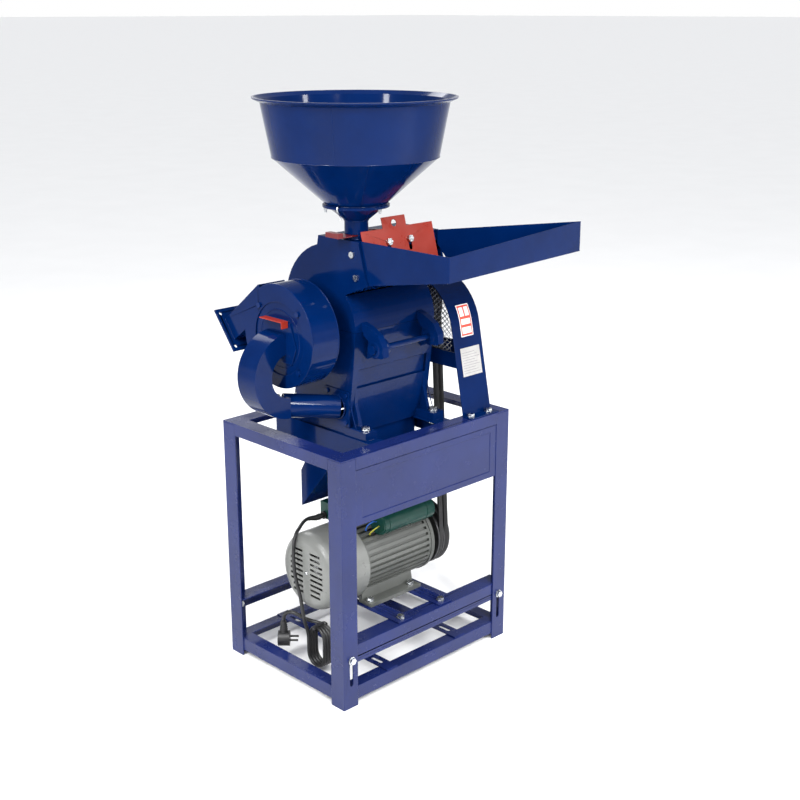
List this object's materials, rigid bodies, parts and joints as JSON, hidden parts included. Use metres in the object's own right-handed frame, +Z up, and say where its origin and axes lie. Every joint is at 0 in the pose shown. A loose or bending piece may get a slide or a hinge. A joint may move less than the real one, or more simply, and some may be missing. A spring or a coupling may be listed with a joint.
{
  "type": "hammer mill",
  "caption": "Small electric hammer mill on an angle-iron stand, with round hopper, feed tray, side fan, belt drive and guard.",
  "frame": {"origin": "centre of the stand's footprint on the floor", "axes": "+X along the shaft to the belt side, -Y to the front with the feed tray, +Z up"},
  "size_m": [0.708, 0.5561, 1.236],
  "materials": {
    "blue_paint": "glossy",
    "zinc_bolts": "bright zinc",
    "bright_steel": "ground",
    "hard_steel": "blackened",
    "fan_metal": "satin",
    "pulley_iron": "turned",
    "red_paint": "semi-gloss",
    "mesh_wire": "galvanised",
    "knob_plastic": "moulded",
    "belt_rubber": "matte",
    "motor_grey": "satin",
    "cowl_grey": "satin",
    "motor_steel": "ground",
    "green_case": "gloss",
    "cord_black": "satin"
  },
  "bodies": {
    "root": {"leg_front_left": "blue_paint", "leg_front_right": "blue_paint", "leg_rear_left": "blue_paint", "leg_rear_right": "blue_paint", "top_rails": "blue_paint", "bottom_rails": "blue_paint", "base_straps": "blue_paint", "mill_support_bars": "blue_paint", "front_panel": "blue_paint", "lower_casing": "blue_paint", "hinge_pin": "zinc_bolts", "mill_foot_bolts": "zinc_bolts", "sieve_screen": "bright_steel", "shaft_bearings": "bright_steel", "bearing_housings": "blue_paint", "fan_casing": "blue_paint", "fan_cover": "blue_paint", "fan_screws": "zinc_bolts", "inlet_plate": "blue_paint", "suction_duct": "blue_paint", "discharge_chute": "blue_paint", "belt_guard": "blue_paint", "guard_mesh": "mesh_wire", "guard_bolts": "zinc_bolts", "belts": "belt_rubber", "power_cord": "cord_black", "cord_hank": "cord_black", "power_plug": "cord_black"},
    "motor_carriage": {"motor_rails": "blue_paint", "motor_cross_bars": "blue_paint", "carriage_bolts": "zinc_bolts", "motor_foot_bolts": "zinc_bolts", "motor_stator": "motor_grey", "end_shields": "motor_grey", "fan_cowl": "cowl_grey", "capacitors": "green_case", "cord_gland": "cord_black"},
    "motor_spindle": {"motor_rotor": "motor_steel", "motor_pulley": "pulley_iron"},
    "mill_rotor": {"main_shaft": "bright_steel", "rotor_discs": "hard_steel", "hammer_pins": "bright_steel", "mill_pulley": "pulley_iron", "fan_impeller": "fan_metal"},
    "hammers_1": {"hammers_row_1": "hard_steel"},
    "hammers_2": {"hammers_row_2": "hard_steel"},
    "hammers_3": {"hammers_row_3": "hard_steel"},
    "hammers_4": {"hammers_row_4": "hard_steel"},
    "upper_casing": {"upper_casing": "blue_paint", "feed_tray": "blue_paint", "tray_screws": "zinc_bolts", "gate_bolts": "zinc_bolts", "hopper": "blue_paint", "hopper_funnel": "blue_paint", "hopper_screws": "zinc_bolts"},
    "tray_gate": {"tray_gate": "red_paint"},
    "hopper_shutter": {"hopper_shutter": "red_paint"},
    "fan_damper": {"fan_damper": "red_paint"},
    "casing_knob_left": {"casing_knob_left": "knob_plastic"},
    "casing_knob_right": {"casing_knob_right": "knob_plastic"}
  },
  "joints": [
    {"name": "casing_hinge", "type": "hinge", "parent": "root", "child": "upper_casing", "pos_m": [0, -0.138, 0.742], "axis": [1, 0, 0], "range_deg": [0, 75]},
    {"name": "knob_left_turn", "type": "hinge", "parent": "upper_casing", "child": "casing_knob_left", "pos_m": [-0.084, 0.136, 0.79], "axis": [0, 0, 1], "continuous": true},
    {"name": "knob_right_turn", "type": "hinge", "parent": "upper_casing", "child": "casing_knob_right", "pos_m": [0.048, 0.136, 0.79], "axis": [0, 0, 1], "continuous": true},
    {"name": "tray_gate_slide", "type": "slide", "parent": "upper_casing", "child": "tray_gate", "axis": [0, 0.2688, 0.9632], "range_m": [0, 0.016]},
    {"name": "hopper_shutter_slide", "type": "slide", "parent": "upper_casing", "child": "hopper_shutter", "axis": [-1, 0, 0], "range_m": [0, 0.045]},
    {"name": "fan_damper_slide", "type": "slide", "parent": "root", "child": "fan_damper", "axis": [0, 1, 0], "range_m": [0, 0.03]},
    {"name": "motor_carriage_slide", "type": "slide", "parent": "root", "child": "motor_carriage", "axis": [0, 0, 1], "range_m": [-0.045, 0], "deforming": ["belts", "power_cord", "cord_hank"]},
    {"name": "motor_spin", "type": "hinge", "parent": "motor_carriage", "child": "motor_spindle", "pos_m": [0, 0, 0.231], "axis": [1, 0, 0], "continuous": true},
    {"name": "mill_spin", "type": "hinge", "parent": "root", "child": "mill_rotor", "pos_m": [0, 0, 0.772], "axis": [1, 0, 0], "continuous": true},
    {"name": "hammers_1_swing", "type": "hinge", "parent": "mill_rotor", "child": "hammers_1", "pos_m": [0, 0.048, 0.772], "axis": [1, 0, 0], "range_deg": [-75, 75]},
    {"name": "hammers_2_swing", "type": "hinge", "parent": "mill_rotor", "child": "hammers_2", "pos_m": [0, 0, 0.82], "axis": [1, 0, 0], "range_deg": [-75, 75]},
    {"name": "hammers_3_swing", "type": "hinge", "parent": "mill_rotor", "child": "hammers_3", "pos_m": [0, -0.048, 0.772], "axis": [1, 0, 0], "range_deg": [-75, 75]},
    {"name": "hammers_4_swing", "type": "hinge", "parent": "mill_rotor", "child": "hammers_4", "pos_m": [0, 0, 0.724], "axis": [1, 0, 0], "range_deg": [-75, 75]}
  ],
  "couplings": [
    {"joint": "mill_spin", "follows": "motor_spin", "ratio": 1.6881}
  ]
}
